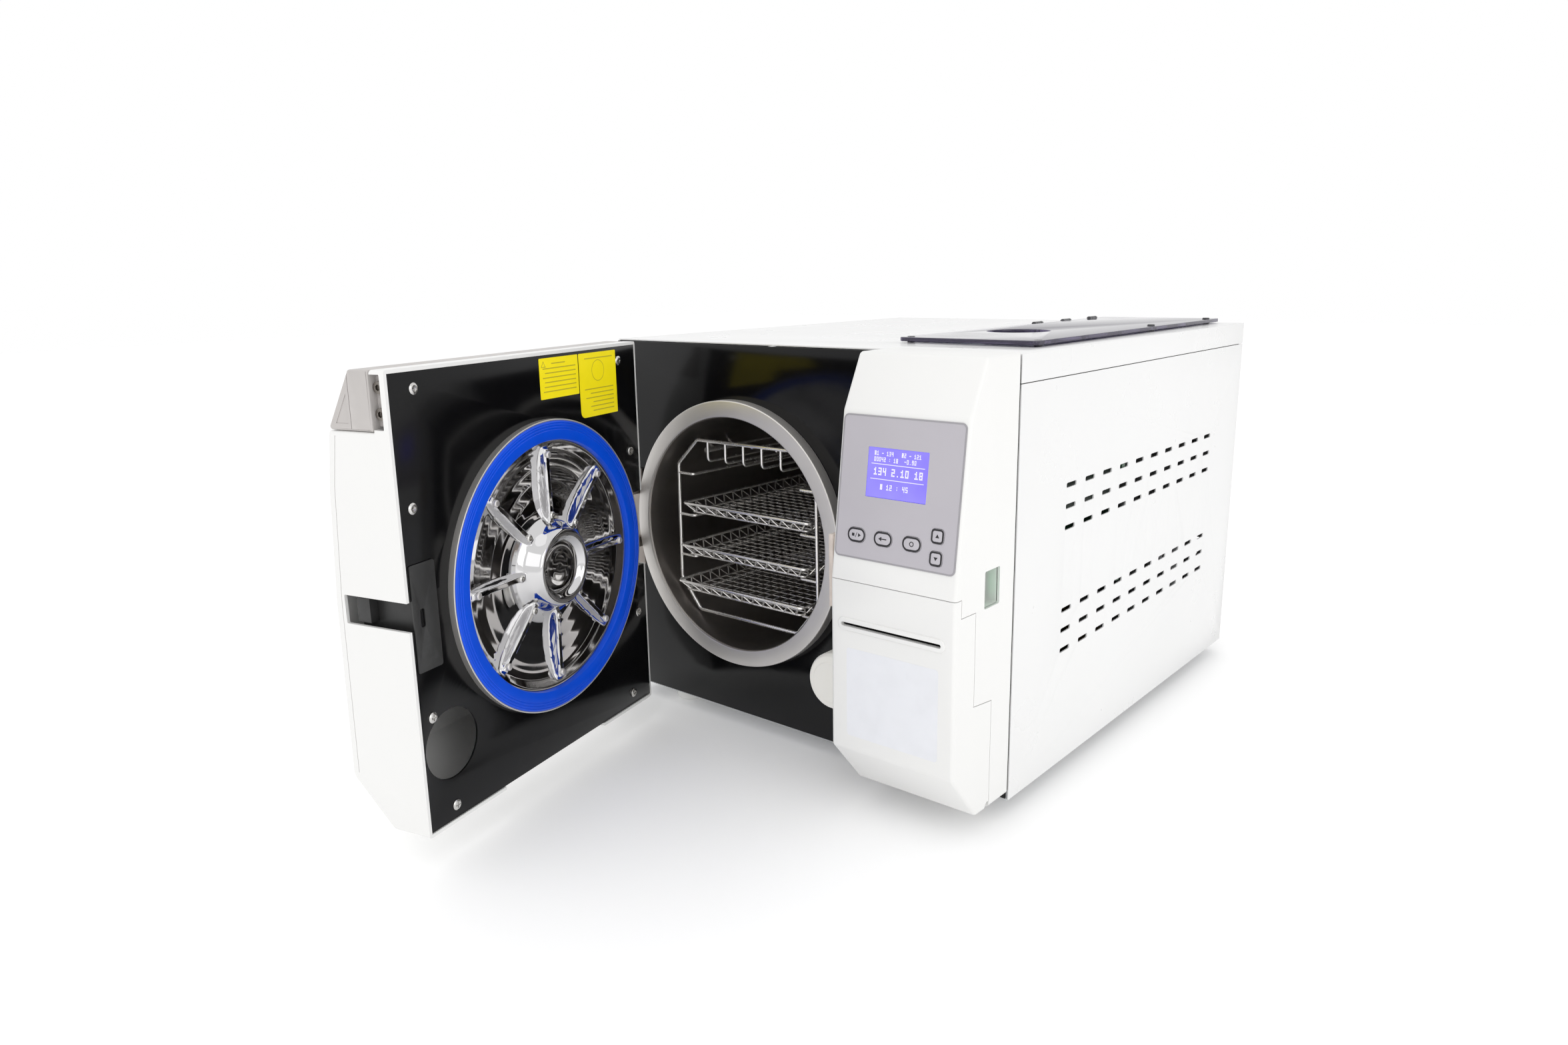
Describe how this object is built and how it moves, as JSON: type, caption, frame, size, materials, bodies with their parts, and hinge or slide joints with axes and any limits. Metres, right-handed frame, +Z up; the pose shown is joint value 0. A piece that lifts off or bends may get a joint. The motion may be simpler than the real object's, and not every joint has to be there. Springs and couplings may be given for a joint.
{
  "type": "benchtop steam autoclave",
  "caption": "Benchtop steam autoclave with a swung-open round pressure door, wire rack with sliding trays, keypad housing and a lift-up tank lid.",
  "frame": {"origin": "on the table plane, under the centre of the whole machine's outline with its door standing open as stored; this is 88 mm behind the front panel, on the cabinet's centre line", "axes": "+X to the right seen from the front, the front faces -Y, +Z up"},
  "size_m": [0.506, 0.9887, 0.4312],
  "materials": {
    "white_sheet": "glossy powder coat",
    "white_plastic": "smooth moulded",
    "black_panel": "glossy",
    "galvanised": "plain zinc",
    "stainless_satin": "satin",
    "stainless_mirror": "mirror polished",
    "chamber_steel": "dull inside",
    "wire_steel": "bright drawn wire",
    "seal_silicone": "satin blue silicone",
    "grey_trim": "fine texture",
    "label_yellow": "laminated",
    "overlay_grey": "fine texture film",
    "key_grey": "fine texture film",
    "lcd_blue": "lit display",
    "black_plastic": "satin",
    "green_lit": "lit translucent",
    "tan_plastic": "satin",
    "white_rubber": "matte",
    "filter_plastic": "smooth",
    "insulation": "woven glass cloth",
    "tank_plastic": "natural polythene",
    "circuit_green": "solder resist",
    "pump_paint": "hammer finish",
    "pump_plastic": "glass filled",
    "brass": "machined",
    "fin_aluminium": "mill finish",
    "steel_screw": "zinc plated",
    "dark_bolt": "plain",
    "smoked_acrylic": "violet smoked, polished",
    "hinge_dark": "satin",
    "paper_white": "thermal paper"
  },
  "bodies": {
    "cabinet": {"base_tray": "galvanised", "feet": "white_rubber", "left_side_panel": "white_sheet", "right_side_panel": "white_sheet", "top_cover": "white_sheet", "rear_panel": "white_sheet", "front_panel": "black_panel", "control_housing": "white_plastic", "keypad_overlay": "overlay_grey", "lcd_module": "lcd_blue", "switch_frame": "black_plastic", "printer_module": "black_plastic", "latch_receiver": "tan_plastic", "hinge_bracket": "stainless_satin", "hinge_pin": "steel_screw", "chamber_vessel": "chamber_steel", "chamber_ring": "stainless_satin", "chamber_probe": "wire_steel", "heater_jacket": "insulation", "chamber_cradles": "galvanised", "clean_water_tank": "tank_plastic", "used_water_tank": "tank_plastic", "control_board": "circuit_green", "power_supply": "galvanised", "vacuum_pump": "pump_paint", "water_pump": "pump_plastic", "steam_generator": "stainless_satin", "solenoid_valves": "brass", "condenser": "fin_aluminium", "fan_frame": "black_plastic", "mains_inlet": "black_plastic", "drain_ports": "brass", "safety_valve": "brass", "lid_hinges": "hinge_dark"},
    "door": {"door_cover": "white_plastic", "door_panel": "black_panel", "door_plate": "stainless_mirror", "door_seal": "seal_silicone", "door_arm": "galvanised", "door_handle": "grey_trim", "handle_bolts": "dark_bolt", "door_screws": "steel_screw", "caution_labels": "label_yellow", "latch_guide": "black_plastic"},
    "latch": {"latch_bolt": "black_plastic"},
    "filter": {"filter_cap": "filter_plastic"},
    "rack": {"tray_rack": "wire_steel"},
    "tray_top": {"top_tray": "wire_steel"},
    "tray_middle": {"middle_tray": "wire_steel"},
    "tray_bottom": {"bottom_tray": "wire_steel"},
    "key_start": {"start_key": "key_grey"},
    "key_back": {"back_key": "key_grey"},
    "key_ok": {"ok_key": "key_grey"},
    "key_up": {"up_key": "key_grey"},
    "key_down": {"down_key": "key_grey"},
    "rocker": {"power_rocker": "green_lit"},
    "folding_cover": {"front_cover": "white_plastic"},
    "roll": {"paper_roll": "paper_white"},
    "lid": {"tank_lid": "smoked_acrylic"},
    "fan": {"fan_rotor": "black_plastic"}
  },
  "joints": [
    {"name": "door_hinge", "type": "hinge", "parent": "cabinet", "child": "door", "pos_m": [-0.218, -0.162, 0.222], "axis": [0, 0, -1], "range_deg": [-75.5, 44.5]},
    {"name": "latch_slide", "type": "slide", "parent": "door", "child": "latch", "axis": [0.2504, -0.9681, 0], "range_m": [0, 0.01]},
    {"name": "filter_turn", "type": "hinge", "parent": "cabinet", "child": "filter", "pos_m": [0.0792, -0.108, 0.1018], "axis": [0, -1, 0], "range_deg": [0, 90]},
    {"name": "rack_slide", "type": "slide", "parent": "cabinet", "child": "rack", "axis": [0, -1, 0], "range_m": [0, 0.05]},
    {"name": "top_tray_slide", "type": "slide", "parent": "rack", "child": "tray_top", "axis": [0, -1, 0], "range_m": [-0.003, 0.06]},
    {"name": "middle_tray_slide", "type": "slide", "parent": "rack", "child": "tray_middle", "axis": [0, -1, 0], "range_m": [-0.009, 0.055]},
    {"name": "bottom_tray_slide", "type": "slide", "parent": "rack", "child": "tray_bottom", "axis": [0, -1, 0], "range_m": [-0.015, 0.05]},
    {"name": "start_key_press", "type": "slide", "parent": "cabinet", "child": "key_start", "axis": [0, 0.9918, -0.1282], "range_m": [0, 0.0008], "stiffness_N_per_m": 800},
    {"name": "back_key_press", "type": "slide", "parent": "cabinet", "child": "key_back", "axis": [0, 0.9918, -0.1282], "range_m": [0, 0.0008], "stiffness_N_per_m": 800},
    {"name": "ok_key_press", "type": "slide", "parent": "cabinet", "child": "key_ok", "axis": [0, 0.9918, -0.1282], "range_m": [0, 0.0008], "stiffness_N_per_m": 800},
    {"name": "up_key_press", "type": "slide", "parent": "cabinet", "child": "key_up", "axis": [0, 0.9918, -0.1282], "range_m": [0, 0.0008], "stiffness_N_per_m": 800},
    {"name": "down_key_press", "type": "slide", "parent": "cabinet", "child": "key_down", "axis": [0, 0.9918, -0.1282], "range_m": [0, 0.0008], "stiffness_N_per_m": 800},
    {"name": "power_rocker_tilt", "type": "hinge", "parent": "cabinet", "child": "rocker", "pos_m": [0.235, -0.1255, 0.2295], "axis": [0, 1, 0], "range_deg": [0, 18]},
    {"name": "front_cover_fold", "type": "hinge", "parent": "cabinet", "child": "folding_cover", "pos_m": [0.189, -0.124, 0.0268], "axis": [1, 0, 0], "range_deg": [0, 45]},
    {"name": "paper_roll_spin", "type": "hinge", "parent": "cabinet", "child": "roll", "pos_m": [0.189, -0.154, 0.16], "axis": [1, 0, 0], "continuous": true},
    {"name": "tank_lid_lift", "type": "hinge", "parent": "cabinet", "child": "lid", "pos_m": [0.0745, 0.227, 0.4275], "axis": [0, -1, 0], "range_deg": [0, 100]},
    {"name": "fan_spin", "type": "hinge", "parent": "cabinet", "child": "fan", "pos_m": [0.165, 0.422, 0.146], "axis": [0, 1, 0], "continuous": true}
  ]
}
